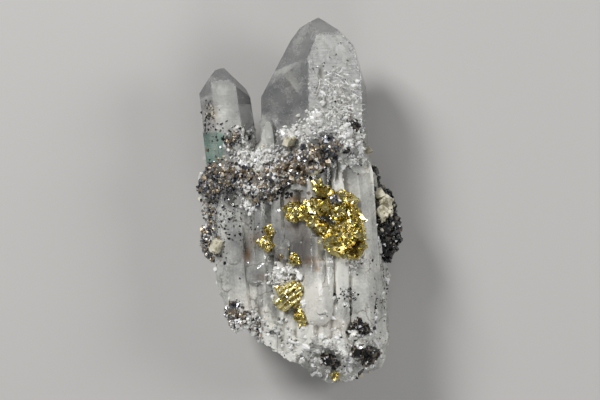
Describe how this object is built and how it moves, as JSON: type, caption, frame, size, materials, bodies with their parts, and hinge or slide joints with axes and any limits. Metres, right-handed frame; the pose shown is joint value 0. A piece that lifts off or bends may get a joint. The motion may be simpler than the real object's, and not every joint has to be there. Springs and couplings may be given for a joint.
{
  "type": "mineral specimen",
  "caption": "Cluster of quartz crystals with two tall points, crossed by a belt of galena and set with golden chalcopyrite, black sphalerite and pale dolomite, lying on its back.",
  "frame": {"origin": "middle of the specimen's footprint, level with the contact face it lies on", "axes": "+Y along the crystals from the broken end to the tips, +Z out of the face with the sulphides, +X to the right seen from that face"},
  "size_m": [0.0506, 0.091, 0.03],
  "materials": {
    "quartz": "natural faces, clear at the tips and milky below",
    "chalcopyrite": "bright metallic with warm tarnish",
    "galena": "bright lead grey",
    "sphalerite": "black, resinous to submetallic",
    "dolomite": "cream, pearly"
  },
  "bodies": {
    "root": {"quartz_crystals": "quartz", "dolomite_upper_right": "dolomite", "dolomite_right_top": "dolomite", "dolomite_right_middle": "dolomite", "dolomite_right_low": "dolomite", "dolomite_left": "dolomite", "dolomite_left_edge": "dolomite", "dolomite_belt": "dolomite", "dolomite_belt_upper": "dolomite", "dolomite_below_belt": "dolomite", "chalcopyrite_large": "chalcopyrite", "chalcopyrite_lower": "chalcopyrite", "chalcopyrite_bud": "chalcopyrite", "chalcopyrite_left": "chalcopyrite", "chalcopyrite_small": "chalcopyrite", "chalcopyrite_foot": "chalcopyrite", "galena_in_chalcopyrite": "galena", "galena_belt_right": "galena", "galena_belt_left": "galena", "galena_left_edge": "galena", "galena_foot_left": "galena", "galena_on_small_crystal": "galena", "sphalerite_right": "sphalerite", "sphalerite_foot_a": "sphalerite", "sphalerite_foot_b": "sphalerite", "sphalerite_foot_c": "sphalerite", "sphalerite_foot_d": "sphalerite", "sphalerite_tall": "sphalerite"}
  },
  "joints": []
}
